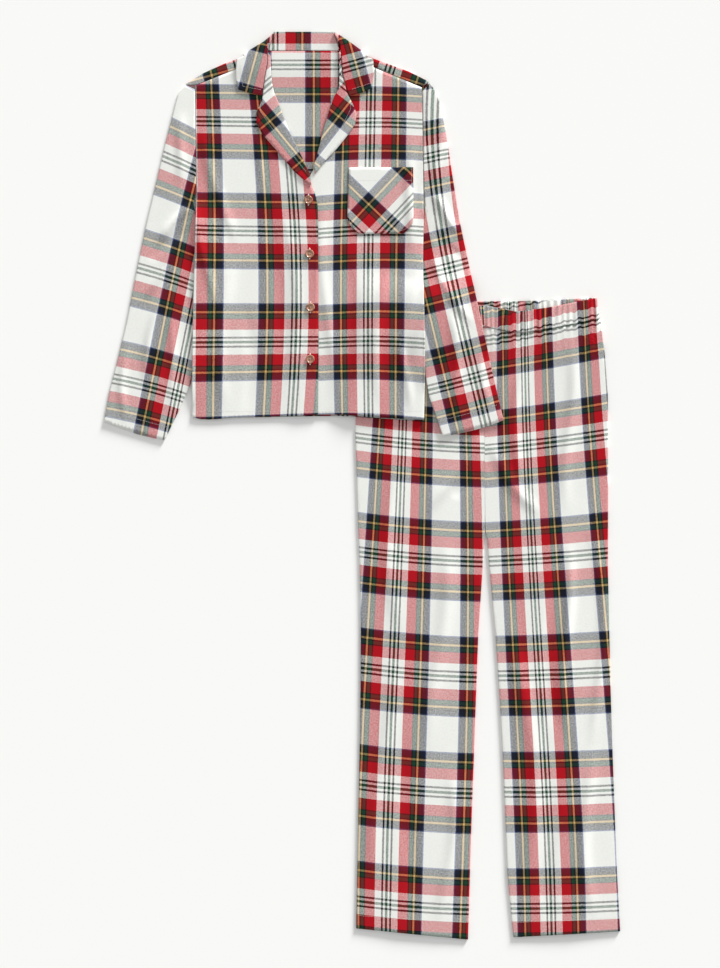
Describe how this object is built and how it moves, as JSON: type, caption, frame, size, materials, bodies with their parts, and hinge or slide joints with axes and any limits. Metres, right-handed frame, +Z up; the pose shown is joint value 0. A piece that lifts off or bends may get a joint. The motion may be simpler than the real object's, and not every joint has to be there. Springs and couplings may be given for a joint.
{
  "type": "pyjama set",
  "caption": "Flannel pyjama set laid flat: a long-sleeved shirt with notched collar, front buttons and chest pocket, its sleeve and corner over elastic-waist trousers.",
  "frame": {"origin": "middle of the set's bounding box, on the floor it lies on", "axes": "+Y along the set from the trouser hems to the shirt's collar, +X to the right as seen from above, +Z up from the floor"},
  "size_m": [0.8772, 1.542, 0.0198],
  "materials": {
    "flannel": "soft brushed cotton in a red, white, navy and green tartan",
    "button": "brown, a little see-through"
  },
  "bodies": {
    "root": {"shirt_back": "flannel", "shirt_front_right": "flannel", "shirt_front_left": "flannel", "sleeve_right": "flannel", "sleeve_left": "flannel", "lapel_right": "flannel", "lapel_left": "flannel", "collar": "flannel", "pocket": "flannel", "button_1": "button", "button_2": "button", "button_3": "button", "button_4": "button", "leg_front_right": "flannel", "leg_front_left": "flannel", "leg_back_right": "flannel", "leg_back_left": "flannel", "waistband": "flannel"}
  },
  "joints": []
}
